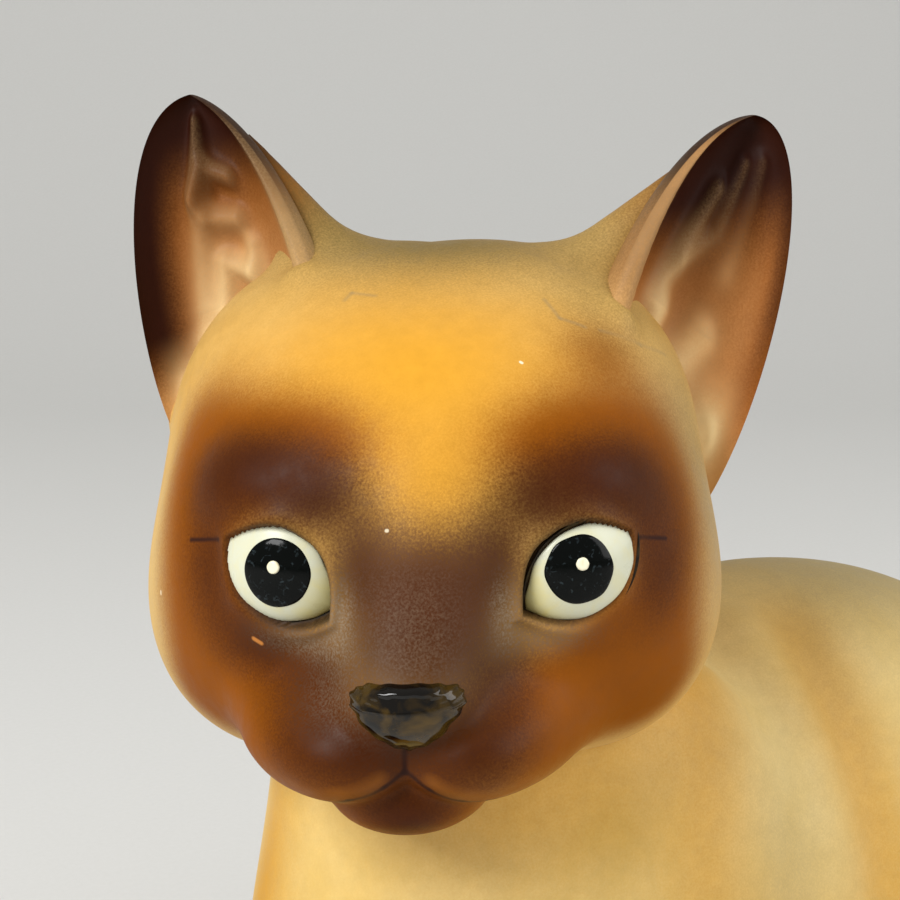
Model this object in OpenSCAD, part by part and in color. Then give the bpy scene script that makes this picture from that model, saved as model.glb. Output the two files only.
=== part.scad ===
// A lying ceramic cat: hollow slip castings luted together, with enamel eyes and a glazed nose.
// X runs along the body from chest (-X) to rump (+X), the cat's left side faces -Y, Z is up.
// The origin is on the flat underside, below the middle of the back.

/* [Body] */
// Length of the trunk, from the front of the chest to the back of the rump
body_length = 180; // [156:1:206]
// Width across the haunches
body_width = 98; // [84:1:118]
// Height of the back above the table
back_height = 93; // [80:1:112]
// Wall of the body and head castings
wall = 4.5; // [3:0.5:7]
// Diameter of the firing vent in the underside
vent_d = 8; // [5:0.5:12]
// Diameter of the passage between the body and the head cavities
neck_passage_d = 10; // [6:0.5:14]

/* [Head] */
// Width across the cheeks
head_width = 63; // [54:1:76]
// Height from chin to crown, without the ears
head_height = 58; // [50:1:70]
// Length from the back of the skull to the muzzle
head_depth = 69; // [60:1:82]
// Height of the middle of the face above the table
face_height = 112; // [106:1:126]
// Turn of the face from straight out over the cat's left side
face_turn = 36.5; // [20:0.5:60]
// Upward tilt of the face
face_tilt = 2; // [-5:1:10]
// Sideways lean of the face
face_lean = -1.1; // [-4:0.1:4]

/* [Ears] */
// Length of each ear, from its root to its tip
ear_length = 37; // [30:1:46]
// Wall of the ear at its root
ear_wall = 3; // [2.2:0.2:4.4]
// Depth of the hollow in the ear
ear_cup = 9.5; // [6:0.5:12]

/* [Eyes and nose] */
// Radius of the eyeball at the face of its enamel
eyeball_r = 9.2; // [8.2:0.1:10.2]
// Length of the opening between the lids
eye_length = 13; // [10:0.2:14]
// Height of the opening between the lids
eye_height = 9.2; // [7:0.2:10.4]
// Slant of the opening, its outer corner up
eye_slant = 31; // [15:1:40]
// Thickness of the lids over the eyeball
lid_wall = 0.9; // [0.5:0.1:1.4]
// Diameter of the black pupil
pupil_d = 6.7; // [5:0.1:7.2]
// Diameter of the catchlight dot
catchlight_d = 1.1; // [0.7:0.1:2]
// Thickness of one coat of enamel
enamel = 0.4; // [0.3:0.05:0.6]
// Width of the nose glaze
nose_width = 11; // [9:0.2:14]
// Height of the nose glaze
nose_height = 7; // [5.5:0.2:9]

/* [Legs and tail] */
// Reach of the forelegs in front of the elbow
foreleg_length = 72; // [60:1:86]
// Width of a front paw
front_paw_width = 20; // [16:0.5:24]
// Length of a hind paw in front of the haunch
hind_paw_length = 56; // [46:1:66]
// Width of a hind paw
hind_paw_width = 18; // [15:0.5:22]
// Thickness of the tail at its root
tail_d = 18; // [14:0.5:22]
// Thickness of the tail near its tip
tail_tip_d = 12; // [9:0.5:15]

/* [Hidden] */

cream = [0.90, 0.80, 0.55];
seal_brown = [0.23, 0.12, 0.07];
enamel_white = [0.93, 0.91, 0.80];
glaze_black = [0.04, 0.03, 0.03];

left = -1;
right = 1;
bite = 1;

// The shapes below are set out on a cat of these sizes, and stretched to the sizes asked for.
body_fit = [body_length / 180, body_width / 98, back_height / 93];
head_fit = [head_width / 63, head_height / 58, head_depth / 69];

head_centre = [-62 * body_fit.x, -8 * body_fit.y, face_height];
skull_heart = mul([0, -3, -2], head_fit);
eye_centre = mul([12.7, -0.4, 15.4], head_fit);
eye_outward = 14;
lid_drop = 0.4;
spine_front = mul([-57, 0, 46], body_fit);
spine_back = mul([60, 0, 40], body_fit);

// ---- Vectors and smooth blends

function mul(a, b) = [a.x * b.x, a.y * b.y, a.z * b.z];
function unit(v) = v / norm(v);
function fold_x(p) = [abs(p.x), p.y, p.z];
function fold_y(p) = [p.x, abs(p.y), p.z];

// Near enough the distance from p to an ellipsoid of half sizes r about c.
function egg(p, c, r) =
    let (a = [(p.x - c.x) / r.x, (p.y - c.y) / r.y, (p.z - c.z) / r.z],
         b = [a.x / r.x, a.y / r.y, a.z / r.z],
         k = norm(a))
    k * (k - 1) / max(norm(b), 0.000001);

// Distance from p to a bar with round ends, from a to b, of radius ra at a and rb at b.
function bar(p, a, b, ra, rb) =
    let (ab = b - a, t = min(1, max(0, (p - a) * ab / (ab * ab))))
    norm(p - a - t * ab) - (ra + (rb - ra) * t);

// Union of two shapes with a fillet about k wide.
function melt(a, b, k) =
    let (h = min(1, max(0, 0.5 + 0.5 * (b - a) / k)))
    b * (1 - h) + a * h - k * h * (1 - h);

// Blend a list of shapes, each [distance, fillet], in order.
function melt_all(list, i = 1, so_far = undef) =
    let (now = is_undef(so_far) ? list[0][0] : so_far)
    i >= len(list) ? now : melt_all(list, i + 1, melt(now, list[i][0], list[i][1]));

// Where a ray from o along d leaves the shape f: it steps in from outside by the distance found.
function outside(f, o, d, t, steps) =
    let (v = f(o + t * d))
    steps == 0 || abs(v) < 0.01 ? t : outside(f, o, d, max(0.5, t - 0.9 * v), steps - 1);

// Skin of the shape f, found along rays that fan out from the line a-b, its ends first and last.
// ref sets where the spokes start, crowd (0 to 0.5) draws the rings towards b, and ground is the lowest z.
function skin_points(f, a, b, ax, ref, rings, spokes, reach, crowd = 0, ground = -1000) =
    let (sd = unit(cross(ref, ax)), up = cross(ax, sd))
    [for (i = [0:rings])
        let (u = i / rings, th = 180 * ((1 - crowd) * u + crowd * u * u * u),
             o = b + (a - b) * (1 - cos(th)) / 2)
        for (j = [0:(i == 0 || i == rings ? 0 : spokes - 1)])
            let (ph = 360 * j / spokes,
                 d = cos(th) * ax + sin(th) * (cos(ph) * sd + sin(ph) * up),
                 p = o + d * outside(f, o, d, reach, 40))
            [p.x, p.y, max(p.z, ground)]];

// Faces of a skin: a point, rings - 1 loops of spokes points, and a point.
function skin_faces(rings, spokes) =
    let (last = 1 + (rings - 1) * spokes, foot = last - spokes)
    concat(
        [for (j = [0:spokes - 1]) [0, 1 + (j + 1) % spokes, 1 + j]],
        [for (i = [0:rings - 3]) for (j = [0:spokes - 1]) for (half = [0:1])
            let (a = 1 + i * spokes + j, b = 1 + i * spokes + (j + 1) % spokes)
            half == 0 ? [a, b, b + spokes] : [a, b + spokes, a + spokes]],
        [for (j = [0:spokes - 1]) [last, foot + j, foot + (j + 1) % spokes]]);

module skin(points, rings, spokes) {
    polyhedron(points = points, faces = skin_faces(rings, spokes), convexity = 6);
}

// ---- Body

// Shape of the trunk, the haunches, the shoulders and the neck.
function body_shape(p, neck_top) =
    let (q = fold_y(p), s = body_fit)
    melt_all([
        [egg(p, mul([-10, 0, 44], s), mul([64, 33, 49.3], s)), 0],
        [egg(p, mul([-55, -5, 46], s), mul([27, 27, 50], s)), 12],
        [egg(p, mul([58, 0, 39], s), mul([40, 36, 44], s)), 14],
        [egg(q, mul([50, 30, 28], s), mul([36, 19, 34], s)), 7],
        [egg(q, mul([-38, 18, 52], s), mul([20, 16, 41], s)), 7],
        [bar(q, mul([-43, 22, 48], s), mul([-33, 25, 16], s), 14 * s.y, 12 * s.y), 8],
        [bar(p, mul([-48, -1, 64], s), neck_top, 23 * s.y, 21 * s.y), 10]]);

neck_top = head_centre + [5, 6, -14];

module body_outside() {
    f = function (p) body_shape(p, neck_top);
    skin(skin_points(f, spine_front, spine_back, [1, 0, 0], [0, 0, 1], 36, 60, 120, ground = 0), 36, 60);
}

module body_cavity() {
    f = function (p) body_shape(p, neck_top) + wall;
    skin(skin_points(f, spine_front, spine_back, [1, 0, 0], [0, 0, 1], 20, 32, 120, ground = wall), 20, 32);
}

module body_casting() {
    color(cream)
    difference() {
        body_outside();
        body_cavity();
        translate([30 * body_fit.x, 0, -bite])
            cylinder(d = vent_d, h = wall + 2 * bite, $fn = 48);
        translate(neck_top)
            cylinder(d = neck_passage_d, h = head_height, $fn = 48);
    }
}

// ---- Head, drawn with x to the cat's left, y up and z out of the face

module on_head() {
    translate(head_centre)
        rotate([0, 0, -face_turn])
            rotate([90 - face_tilt, 0, 0])
                rotate([0, 0, -face_lean])
                    children();
}

// The skull sits a little to the right, and the muzzle further.
skull_set = 0.4;
muzzle_set = 1.9;

function skull_shape(p) =
    let (m = p + [skull_set, 0, 0], q = fold_x(m), s = head_fit)
    melt_all([
        [egg(m, mul([0, 0.8, -8], s), mul([30, 27.8, 28], s)), 0],
        [egg(q, mul([11, 10.5, -9], s), mul([15, 15.2, 17], s)), 9],
        [egg(q, mul([15.7, -10.8, -1], s), mul([15.8, 15.8, 18.5], s)), 9],
        [egg(m, mul([0, -1.5, 9], s), mul([26.2, 22, 17], s)), 8]]);

// The skull with the mounds behind the ears.
function crown_shape(p) =
    melt_all([
        [skull_shape(p), 0],
        [bar(p, mul([17, 20, -17], head_fit), mul([27.5, 35, -17.5], head_fit), 6, 2), 6],
        [bar(p, mul([-13, 22, -17], head_fit), mul([-20, 37, -17.5], head_fit), 6, 2), 6]]);

function face_shape(p) =
    let (q = fold_x(p), m = p + [muzzle_set, 0, 0], r = fold_x(m), s = head_fit)
    melt_all([
        [crown_shape(p), 0],
        [egg(m, mul([0.6, -3, 20], s), mul([6.5, 14, 9.2], s)), 7],
        [egg(q, mul([12, 6.8, 17], s), mul([8.5, 4.6, 6], s)), 5],
        [egg(m, mul([0.4, -10, 22], s), mul([8, 7, 10], s)), 5],
        [melt(egg(r, mul([5.8, -17.6, 23.5], s), mul([8.2, 5.9, 9.5], s)),
              egg(r, mul([10.5, -16.8, 16], s), mul([8.2, 6.8, 10.5], s)), 5), 3.5],
        [egg(m, mul([-0.4, -23, 19.5], s), mul([8.8, 5.5, 9.8], s)), 1.5],
        [egg(m, mul([0, -11.6, 28], s), mul([5.8, 4.2, 6], s)), 2.5],
        [norm(q - eye_centre) - eyeball_r - lid_wall, 2]]);

module head_outside() {
    f = function (p) face_shape(p);
    skin(skin_points(f, skull_heart, skull_heart, [0, 0, 1], [0, 1, 0], 44, 68, 60, crowd = 0.38), 44, 68);
}

module head_cavity() {
    f = function (p) skull_shape(p) + wall;
    skin(skin_points(f, skull_heart, skull_heart, [0, 0, 1], [0, 1, 0], 16, 28, 60), 16, 28);
}

module head_casting() {
    color(cream)
    difference() {
        on_head() head_outside();
        on_head() head_cavity();
        body_outside();
        on_head() for (side = [left, right]) at_eye(side) difference() {
            lid_opening();
            sphere(r = eyeball_r - enamel, $fn = 96);
        }
    }
}

// ---- Ears, each between an inner and an outer edge curve

// Root, then inner edge and outer edge as points from the root, then the way the hollow faces.
left_ear_form = [[24.5, 8, -4], [[-7.5, 8.5, 7], [-5, 19, 5], [3, 33, -5], [11.7, 34.2, -8]],
                 [[6, -10, -5], [14.5, 4, -5], [20, 32.5, -8], [11.7, 34.2, -8]], [0.42, -0.05, 0.9]];
right_ear_form = [[20.5, 12, -4], [[-10.3, 5.5, 6], [-9, 15, 4], [-2, 30.2, -4], [6.6, 33.6, -7]],
                  [[9, -6.5, -5], [14, 4, -4], [16.5, 31.2, -6], [6.6, 33.6, -7]], [0.38, -0.05, 0.92]];
ear_drawn_length = 37;
ear_root_depth = 0.12;

function curve(p, s) =
    pow(1 - s, 3) * p[0] + 3 * s * pow(1 - s, 2) * p[1] + 3 * s * s * (1 - s) * p[2] + s * s * s * p[3];

// Middle of the ear's wall: s runs from root (0) to tip (1), turn from inner (0) to outer edge (180).
function ear_middle(e, s, turn) =
    let (h = (1 - cos(turn)) / 2, grow = ear_length / ear_drawn_length)
    mul(e[0], head_fit) + grow * (curve(e[1], s) * (1 - h) + curve(e[2], s) * h)
    - unit(e[3]) * ear_cup * pow(max(0, 1 - s), 0.6) * sin(turn);

function ear_normal(e, s, turn) =
    let (k = 0.001, sc = min(s, 1 - 2 * k))
    unit(cross(ear_middle(e, sc, turn + 1) - ear_middle(e, sc, turn - 1),
               ear_middle(e, sc + k, turn) - ear_middle(e, sc - k, turn)));

// A point on the skin: round runs up the back of the wall (0 to 180) and down its front (180 to 360).
function ear_point(e, s, round) =
    let (turn = round < 180 ? round : 360 - round,
         w = ear_wall * (1 - 0.35 * s) * sqrt(max(0, 1 - pow(max(s, 0), 6))) * sqrt(sin(turn)))
    ear_middle(e, s, turn) + ear_normal(e, s, turn) * w / 2 * (round < 180 ? -1 : 1);

module ear_shell(e, rings = 22, spokes = 24) {
    step = (1 + ear_root_depth) / rings;
    points = concat(
        [ear_middle(e, 1, 90)],
        [for (i = [1:rings - 1]) for (j = [0:spokes - 1]) ear_point(e, 1 - i * step, 360 - 360 * j / spokes)],
        [ear_middle(e, -ear_root_depth, 90)]);
    skin(points, rings, spokes);
}

module ear(side) {
    color(seal_brown)
    difference() {
        on_head() mirror([side == left ? 0 : 1, 0, 0])
            ear_shell(side == left ? left_ear_form : right_ear_form);
        on_head() head_outside();
    }
}

// ---- Eyes: white, black and catchlight, coat over coat on the eyeball

// The cat's left eye is on +x of the head, and its right eye is the mirror of that.
module at_eye(side) {
    mirror([side == left ? 0 : 1, 0, 0])
        translate(eye_centre)
            rotate([0, eye_outward, 0])
                translate([0, -lid_drop, 0])
                    children();
}

// Almond between two arcs, from the middle of the eyeball out past the lids.
module lid_opening() {
    arc_r = (pow(eye_length / 2, 2) + pow(eye_height / 2, 2)) / eye_height;
    rotate([0, 0, eye_slant])
        linear_extrude(height = 2 * eyeball_r)
            intersection_for(way = [-1, 1])
                translate([0, way * (arc_r - eye_height / 2)])
                    circle(r = arc_r, $fn = 160);
}

module coat(under, over) {
    difference() {
        sphere(r = over, $fn = 96);
        sphere(r = under, $fn = 96);
    }
}

module eye_white(side) {
    color(enamel_white)
    on_head() at_eye(side) intersection() {
        coat(eyeball_r - enamel, eyeball_r);
        lid_opening();
    }
}

module pupil(side) {
    color(glaze_black)
    on_head() at_eye(side) intersection() {
        coat(eyeball_r, eyeball_r + enamel);
        cylinder(d = pupil_d, h = 2 * eyeball_r, $fn = 64);
    }
}

module catchlight(side) {
    color(enamel_white)
    on_head() at_eye(side) intersection() {
        coat(eyeball_r + enamel, eyeball_r + 2 * enamel);
        translate([0, catchlight_d / 2, 0])
            cylinder(d = catchlight_d, h = 2 * eyeball_r, $fn = 32);
    }
}

// ---- Nose: a three-cornered drop of black glaze on the end of the muzzle

module nose_glaze() {
    nose_centre = mul([-1.8, -12, 30.8], head_fit);
    color(glaze_black)
    difference() {
        on_head() translate(nose_centre) nose_drop();
        on_head() head_outside();
    }
}

module nose_drop() {
    f = function (p)
        let (lean = 1 - 0.42 * min(1, max(0, -p.y / nose_height + 0.2)))
        egg(p, [0, 0, 0], [nose_width / 2 * lean, nose_height / 2, 4]);
    skin(skin_points(f, [0, 0, 0], [0, 0, 0], [0, 0, 1], [0, 1, 0], 14, 28, 12), 14, 28);
}

// ---- Legs and tail, luted against the body

toes = [-1.5, -0.5, 0.5, 1.5];

function foreleg_shape(p, elbow, paw) =
    melt_all(concat(
        [[bar(p, elbow, paw + [18, 0, 3], 12, 9.5), 0],
         [egg(p, paw + [4, 0, 0.5], [13, front_paw_width / 2 - 0.5, 9]), 3]],
        [for (k = toes) [egg(p, paw + [abs(k) * 1.6 - 6, k * front_paw_width * 0.22, -1.2],
                             [6, front_paw_width * 0.14, 6.2]), 1.6]]));

module foreleg(side) {
    elbow = mul([-34, 24.5 * side, 14], body_fit);
    paw = [elbow.x - foreleg_length + 6, 17 * side * body_fit.y, 8];
    f = function (p) foreleg_shape(p, elbow, paw);
    color(cream)
    difference() {
        skin(skin_points(f, elbow, paw, unit(paw - elbow), [0, 0, 1], 24, 26, 26, ground = 0), 24, 26);
        body_outside();
    }
}

function hind_paw_shape(p, heel, paw) =
    melt_all(concat(
        [[bar(p, heel, paw + [8, 0, 0], 9, 8), 0],
         [egg(p, paw + [2, 0, 0], [12, hind_paw_width / 2 - 0.5, 8]), 3]],
        [for (k = toes) [egg(p, paw + [abs(k) * 1.4 - 6.5, k * hind_paw_width * 0.22, -1],
                             [6, hind_paw_width * 0.14, 6]), 1.6]]));

hind_paw_y = 44;

module hind_paw(side) {
    heel = mul([44, hind_paw_y * side, 9], body_fit);
    paw = [heel.x - hind_paw_length + 12, heel.y, 7.5];
    f = function (p) hind_paw_shape(p, heel, paw);
    color(cream)
    difference() {
        skin(skin_points(f, heel, paw, [-1, 0, 0], [0, 0, 1], 22, 24, 24, ground = 0), 22, 24);
        body_outside();
    }
}

// The tail leaves the rump, turns forward round the left haunch and lies on the table outside the paw.
tail_gap = 0.5;
tail_lane = -(hind_paw_y * body_fit.y + 10 + hind_paw_width / 2 + tail_gap);
tail_route = [mul([84, 4, 16], body_fit), mul([98, -10, 12], body_fit),
              [98 * body_fit.x, tail_lane * 0.52, 9.5], [82 * body_fit.x, tail_lane * 0.9, 8.5],
              [52 * body_fit.x, tail_lane, 7.5], [18 * body_fit.x, tail_lane, 7],
              [-6 * body_fit.x, tail_lane + 2, 6.5]];

// A smooth curve through the route's points: q runs from 0 to the number of legs.
function along(route, q) =
    let (n = len(route) - 1, i = min(floor(q), n - 1), u = q - i,
         a = route[max(i - 1, 0)], b = route[i], c = route[i + 1], d = route[min(i + 2, n)])
    0.5 * (2 * b + (c - a) * u + (2 * a - 5 * b + 4 * c - d) * u * u + (3 * b - 3 * c + d - a) * u * u * u);

// The rings at both ends close as half balls.
module tail() {
    legs = len(tail_route) - 1;
    cap = 4;
    middle = 22;
    rings = 2 * cap + middle;
    spokes = 14;
    points = [for (i = [0:rings])
        let (at_root = i < cap, at_tip = i > cap + middle,
             q = legs * min(1, max(0, (i - cap) / middle)),
             k = 0.01,
             way = unit(along(tail_route, min(q + k, legs)) - along(tail_route, max(q - k, 0))),
             sd = unit(cross([0, 0, 1], way)),
             up = cross(way, sd),
             r = (tail_d + (tail_tip_d - tail_d) * q / legs) / 2,
             bend = at_root ? 90 * i / cap : at_tip ? 90 * (rings - i) / cap : 90,
             o = along(tail_route, q) + way * r * cos(bend) * (at_root ? -1 : 1))
        for (j = [0:(i == 0 || i == rings ? 0 : spokes - 1)])
            let (ph = -360 * j / spokes, p = o + r * sin(bend) * (cos(ph) * sd + sin(ph) * up))
            [p.x, p.y, max(p.z, 0)]];
    color(seal_brown)
    difference() {
        skin(points, rings, spokes);
        body_outside();
    }
}

body_casting();
head_casting();
ear(left);  // left_ear
ear(right);  // right_ear
foreleg(left);  // left_foreleg
foreleg(right);  // right_foreleg
hind_paw(left);  // left_hind_paw
hind_paw(right);  // right_hind_paw
tail();
eye_white(left);  // left_eye_white
eye_white(right);  // right_eye_white
pupil(left);  // left_pupil
pupil(right);  // right_pupil
catchlight(left);  // left_catchlight
catchlight(right);  // right_catchlight
nose_glaze();
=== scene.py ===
"""A lying ceramic cat: hollow slip castings luted together, airbrushed from cream to seal brown,
with enamel eyes and a drop of black glaze for a nose.

Shapes are worked out in millimetres as whole arrays, and put into their meshes in metres.
X runs from the chest (-X) to the rump (+X), the cat's left side faces -Y, and Z is up."""
import bpy
import numpy as np
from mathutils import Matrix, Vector


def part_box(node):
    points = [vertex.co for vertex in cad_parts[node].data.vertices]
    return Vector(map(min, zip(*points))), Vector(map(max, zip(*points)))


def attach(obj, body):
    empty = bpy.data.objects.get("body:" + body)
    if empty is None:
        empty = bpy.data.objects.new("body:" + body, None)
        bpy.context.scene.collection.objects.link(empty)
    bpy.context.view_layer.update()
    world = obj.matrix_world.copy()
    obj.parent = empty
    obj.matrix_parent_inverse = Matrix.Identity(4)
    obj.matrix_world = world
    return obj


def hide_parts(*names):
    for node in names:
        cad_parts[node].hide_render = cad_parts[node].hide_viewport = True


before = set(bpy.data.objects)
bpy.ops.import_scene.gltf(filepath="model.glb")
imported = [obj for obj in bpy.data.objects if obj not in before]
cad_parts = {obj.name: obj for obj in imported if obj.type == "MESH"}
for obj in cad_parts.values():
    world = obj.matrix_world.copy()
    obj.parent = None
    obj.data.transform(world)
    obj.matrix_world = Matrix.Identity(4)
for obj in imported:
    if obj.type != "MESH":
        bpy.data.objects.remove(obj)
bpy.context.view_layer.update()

# ---------------------------------------------------------------------------- forelegs and hind paws
# Each leg is its own press-moulded piece in the same clay, luted to the body with slip, with four
# toes marked at the front. The paws are sprayed seal brown, as on the living cat.

METRES = 0.001  # in a millimetre


def node_middle(node):
    """Middle of a CAD node's box, in millimetres."""
    low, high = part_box(node)
    return np.array(low + high) / 2 / METRES


def egg(points, centre, radii):
    """Distance from an ellipsoid, near enough: |a| (|a| - 1) / |a / r|, where a = (p - centre) / r."""
    offset = (points - np.asarray(centre, float)) / radii
    size = np.linalg.norm(offset, axis=-1)
    slope = np.linalg.norm(offset / radii, axis=-1)
    return size * (size - 1) / np.maximum(slope, 1e-6)


def bar(points, start, end, start_radius, end_radius):
    """Distance from a round-ended bar: the way to the nearest place on its axis, less the radius there."""
    start, axis = np.asarray(start, float), np.subtract(end, start).astype(float)
    along = np.clip((points - start) @ axis / (axis @ axis), 0, 1)
    radius = start_radius + (end_radius - start_radius) * along
    return np.linalg.norm(points - start - along[..., None] * axis, axis=-1) - radius


def melt(one, other, fillet):
    """Two distances joined with a fillet: the lesser, less fillet h (1 - h) where they are close."""
    h = np.clip(0.5 + 0.5 * (other - one) / fillet, 0, 1)
    return other * (1 - h) + one * h - fillet * h * (1 - h)


def folded(points, axis, shift=0.0):
    """The points with one coordinate moved by shift and made positive, so one shape serves both sides."""
    copy = np.array(points)
    copy[..., axis] = np.abs(copy[..., axis] + shift)
    return copy


def outside(shape, origin, way, reach, steps=40):
    """How far along each ray a shape's skin lies: steps in from reach, each by 0.9 of the way left."""
    far = np.full(way.shape[:-1], float(reach))
    for _ in range(steps):
        far = np.maximum(far - 0.9 * shape(origin + far[..., None] * way), 0.5)
    return far


def skin_grid(shape, back, front, axis, hint, rings, spokes, reach, crowd=0.0):
    """Skin of a shape along rays from the line front-back. Ring u turns from the axis by
    pi ((1 - crowd) u + crowd u^3), and the spokes turn round the axis, starting square to the hint."""
    u = np.linspace(0, 1, rings + 1)[:, None, None]
    turn = np.pi * ((1 - crowd) * u + crowd * u ** 3)
    spoke = np.linspace(0, 2 * np.pi, spokes, endpoint=False)[None, :, None]
    axis = np.asarray(axis, float) / np.linalg.norm(axis)
    side = np.cross(hint, axis)
    side /= np.linalg.norm(side)
    way = np.cos(turn) * axis + np.sin(turn) * (np.cos(spoke) * side + np.sin(spoke) * np.cross(axis, side))
    origin = np.asarray(front, float) + np.subtract(back, front) * (1 - np.cos(turn)) / 2 + 0 * way
    return origin + outside(shape, origin, way, reach)[..., None] * way


def woven(grid):
    """A grid's points in mesh order: the first row as one point, the rows between, the last as one."""
    return np.concatenate([grid[:1].mean(1), grid[1:-1].reshape(-1, grid.shape[-1]), grid[-1:].mean(1)])


def cast_piece(name, points, spokes, coats):
    """Closed smooth mesh through woven points in millimetres: a fan at each end and four-sided faces
    between, turned outwards. Each coat is an amount of paint for every point, kept as an attribute."""
    j = np.arange(spokes)
    k = (j + 1) % spokes
    last = len(points) - 1
    row = np.arange(1, last - spokes, spokes)[:, None]
    quads = np.stack([row + j, row + spokes + j, row + spokes + k, row + k], -1).reshape(-1, 4)
    first_fan = np.stack([0 * j, 1 + j, 1 + k], -1)
    last_fan = np.stack([0 * j + last, last - spokes + k, last - spokes + j], -1)
    fans = np.concatenate([first_fan, last_fan])
    halves = np.concatenate([quads[:, :3], quads[:, [0, 2, 3]], fans])
    a, b, c = (points[halves[:, i]] - points.mean(0) for i in range(3))
    outwards = np.einsum("ij,ij->", a, np.cross(b, c)) > 0
    way = slice(None, None, 1 if outwards else -1)
    mesh = bpy.data.meshes.new(name)
    mesh.from_pydata(points * METRES, [], quads[:, way].tolist() + fans[:, way].tolist())
    mesh.shade_smooth()
    for label, amount in coats.items():
        kept = mesh.attributes.new(label, "FLOAT", "POINT")
        kept.data.foreach_set("value", np.asarray(amount, np.float32))
    piece = bpy.data.objects.new(name, mesh)
    bpy.context.scene.collection.objects.link(piece)
    return piece


def nearest(points, cloud, reach):
    """Distance from each point to the nearest of a cloud, up to a reach, from a^2 + b^2 - 2 a.b."""
    middle = cloud.mean(0)
    cloud = (cloud - middle).astype(np.float32)
    offset = points - middle
    boxed = (offset > cloud.min(0) - reach) & (offset < cloud.max(0) + reach)
    close = np.flatnonzero(boxed.all(1))
    far = np.full(len(points), float(reach))
    for block in np.array_split(close, len(close) // 3000 + 1):
        here = offset[block].astype(np.float32)
        square = (here ** 2).sum(1)[:, None] + (cloud ** 2).sum(1) - 2 * here @ cloud.T
        far[block] = np.sqrt(np.maximum(square.min(1), 0))
    return np.minimum(far, reach)


def slip(distance, reach):
    """Height of a smoothed seam of slip: a quarter circle, r - sqrt(r^2 - (r - d)^2), up the other piece."""
    short = np.clip(reach - distance, 0, reach)
    return reach - np.sqrt(reach ** 2 - short ** 2)


def ridge(points, route, width):
    """Gauss curve of the distance from a line through the points of a route."""
    far = np.min([bar(points, a, b, 0, 0) for a, b in zip(route[:-1], route[1:])], axis=0)
    return np.exp(-(far / width) ** 2)


def step(value, start, end):
    """Smooth step from 0 at start to 1 at end."""
    t = np.clip((value - start) / (end - start), 0, 1)
    return t * t * (3 - 2 * t)


def puff(points, at, spread, strength=1.0):
    """One puff of the airbrush: strength times exp(-|(p - at) / spread|^2)."""
    return strength * np.exp(-(((points - np.asarray(at, float)) / spread) ** 2).sum(-1))


def puffs(points, *rows):
    """Several puffs, each given by its place, its spread and its strength."""
    return [puff(points, *row) for row in rows]


def coat(*puffs):
    """Puffs laid over each other: what is covered is 1 less the product of what each leaves bare."""
    return 1 - np.prod([1 - np.clip(p, 0, 1) for p in puffs], axis=0)


def tone(code):
    """Linear colour of a six-figure sRGB code."""
    value = np.array([int(code[i:i + 2], 16) for i in (0, 2, 4)]) / 255
    linear = np.where(value <= 0.04045, value / 12.92, ((value + 0.055) / 1.055) ** 2.4)
    return (*linear.tolist(), 1.0)


def wire(tree, kind, inputs=None, **settings):
    """A shader node with its settings and its inputs: a socket is linked, and anything else is set."""
    made = tree.nodes.new("ShaderNode" + kind)
    for key, value in settings.items():
        setattr(made, key, value)
    for key, value in (inputs or {}).items():
        if isinstance(value, bpy.types.NodeSocket):
            tree.links.new(value, made.inputs[key])
        else:
            made.inputs[key].default_value = value
    return made


def sum_of(tree, operation, *values):
    """Output of a Math node."""
    return wire(tree, "Math", dict(enumerate(values)), operation=operation).outputs[0]


def rescaled(tree, value, low, high, start=0.0, end=1.0):
    """Output of a Map Range node: start where the value is low, end where it is high."""
    return wire(tree, "MapRange", {0: value, 1: low, 2: high, 3: start, 4: end}).outputs[0]


def noise_of(tree, where, scale, detail, roughness=0.5, distortion=0.0):
    """Output of a Noise node."""
    kind = {"Scale": scale, "Detail": detail, "Roughness": roughness, "Distortion": distortion}
    return wire(tree, "TexNoise", {"Vector": where, **kind}).outputs["Fac"]


def bumped(tree, height, strength, depth, **under):
    """Output of a Bump node, whose height of 1 stands for a depth in metres."""
    inputs = {"Height": height, "Strength": strength, "Distance": depth, **under}
    return wire(tree, "Bump", inputs).outputs[0]


def blended(tree, amount, under, over, blend_type="MIX"):
    """Output of a colour mix: under where amount is 0, over where it is 1."""
    mix = wire(tree, "Mix", {"Factor": amount}, data_type="RGBA", blend_type=blend_type)
    for socket, value in ((mix.inputs[6], under), (mix.inputs[7], over)):
        if isinstance(value, bpy.types.NodeSocket):
            tree.links.new(value, socket)
        else:
            socket.default_value = value
    return mix.outputs[2]


def stroke(tree, where, start, end, radius, blur):
    """Where a fine brush ran from start to end, in millimetres: 1 within the radius, 0 past the blur."""
    start, run = np.asarray(start) * METRES, np.subtract(end, start) * METRES
    from_start = wire(tree, "VectorMath", {0: where, 1: tuple(start)}, operation="SUBTRACT").outputs[0]
    along_run = tuple(run / max(run @ run, 1e-12))
    share = wire(tree, "VectorMath", {0: from_start, 1: along_run}, operation="DOT_PRODUCT").outputs["Value"]
    share = wire(tree, "Clamp", {0: share}).outputs[0]
    reached = wire(tree, "VectorMath", {0: tuple(run), "Scale": share}, operation="SCALE").outputs[0]
    off = wire(tree, "VectorMath", {0: from_start, 1: reached}, operation="DISTANCE").outputs["Value"]
    return rescaled(tree, off, radius * METRES, (radius + blur) * METRES, 1.0, 0.0)


BISQUE_MIRROR, BISQUE_ROUGHNESS = 0.09, (0.42, 0.6)
DROPLETS, MOTTLE, CLOUDS = (4200, 3, 0.6), (520, 6, 0.6), (55, 5, 0.55)  # scale, detail, roughness


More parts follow.
